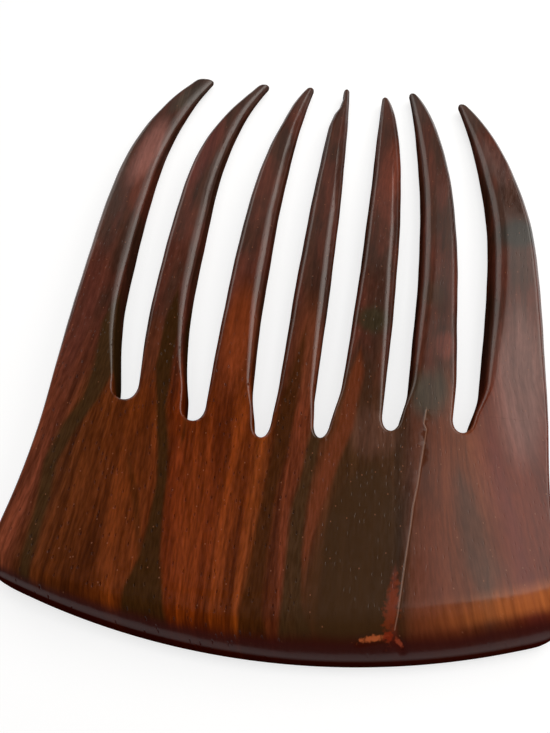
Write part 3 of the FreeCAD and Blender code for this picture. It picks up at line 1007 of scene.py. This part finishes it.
def make_camera():
    """Camera at the place that the pick was seen from."""
    data = bpy.data.cameras.new("camera")
    data.lens = CAMERA_LENS
    data.sensor_width = CAMERA_SENSOR
    data.clip_start = CAMERA_NEAR * MM
    camera = bpy.data.objects.new("camera", data)
    turns = zip((CAMERA_YAW, CAMERA_TILT, CAMERA_ROLL), "YXZ")
    pose = Matrix.Identity(3)
    for angle, axis in turns:
        pose = pose @ Matrix.Rotation(math.radians(angle), 3, axis)
    camera.matrix_world = Matrix.Translation(Vector(CAMERA_PLACE) * MM) @ pose.to_4x4()
    bpy.context.scene.collection.objects.link(camera)
    bpy.context.scene.camera = camera


def make_floor():
    """Plain white floor that keeps the pick's shadow."""
    mesh = bpy.data.meshes.new("floor")
    reach = FLOOR_REACH * MM
    corners = [(-reach, -reach), (reach, -reach), (reach, reach), (-reach, reach)]
    mesh.from_pydata([(x, y, -FLOOR_GAP * MM) for x, y in corners], [], [(0, 1, 2, 3)])
    floor = bpy.data.objects.new("floor", mesh)
    bpy.context.scene.collection.objects.link(floor)
    material = bpy.data.materials.new("floor")
    material.use_nodes = True
    nodes = Nodes(material.node_tree)
    shader = material.node_tree.nodes["Principled BSDF"]
    shader.inputs["Base Color"].default_value = grey(FLOOR_SHADE)
    shader.inputs["Roughness"].default_value = 1.0
    shader.inputs["Specular IOR Level"].default_value = 0.0
    shader.inputs["Emission Color"].default_value = grey(FLOOR_GLOW)
    paths = nodes.add("LightPath", {}).outputs
    seen = nodes.math("MAXIMUM", paths["Is Camera Ray"], paths["Is Glossy Ray"])
    seen = nodes.math("MAXIMUM", seen, paths["Is Transmission Ray"])
    material.node_tree.links.new(seen, shader.inputs["Emission Strength"])
    mesh.materials.append(material)


def area_light(name, place, target, size, radiance):
    """Soft rectangular light that faces a target; its brightness is the radiance of its face."""
    data = bpy.data.lights.new(name, "AREA")
    data.shape = "RECTANGLE"
    data.size, data.size_y = (side * MM for side in size)
    data.energy = radiance * math.pi * data.size * data.size_y
    lamp = bpy.data.objects.new(name, data)
    lamp.location = Vector(place) * MM
    lamp.rotation_euler = (Vector(target) - Vector(place)).to_track_quat("-Z", "Y").to_euler()
    lamp.visible_camera = False
    bpy.context.scene.collection.objects.link(lamp)
    return lamp


def make_light():
    """Soft studio light: a broad key that leaves no reflection, and soft boxes in the polish."""
    world = bpy.data.worlds.new("studio")
    bpy.context.scene.world = world
    world.use_nodes = True
    nodes = Nodes(world.node_tree)
    upward = nodes.add("SeparateXYZ", {0: nodes.add("TexCoord", {}).outputs["Generated"]}).outputs[2]
    sky = nodes.ramp(upward, [(height, grey(shade)) for height, shade in SKY])
    world.node_tree.links.new(sky, world.node_tree.nodes["Background"].inputs["Color"])
    lamps = {name: area_light(name, *form) for name, form in LIGHTS.items()}
    for lamp in lamps.values():
        lamp.data.color = BOX_COLOUR
    lamps["key"].data.color = KEY_COLOUR
    lamps["key"].visible_glossy = False


bpy.context.scene.view_settings.view_transform = "Standard"
*slot_runs, outer_run = rim_runs()
slot_runs.sort(key=lambda run: run[0, 0])
edge_arc = bottom_arc(outer_run)
wood = rosewood(edge_arc)
forms = {name: tine_form(name) for name in TINES}
edge_slopes = [root_slopes(form) for form in forms.values()]
pieces = {BACK: make_back(slot_runs, outer_run, edge_arc, edge_slopes)}
for number, name in enumerate(TINES):
    pieces[name] = make_tine(number, name, forms[name], slot_runs)
for node, piece in pieces.items():
    piece.data.materials.append(wood)
    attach(piece, BODY)
    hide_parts(node)
make_camera()
make_floor()
make_light()
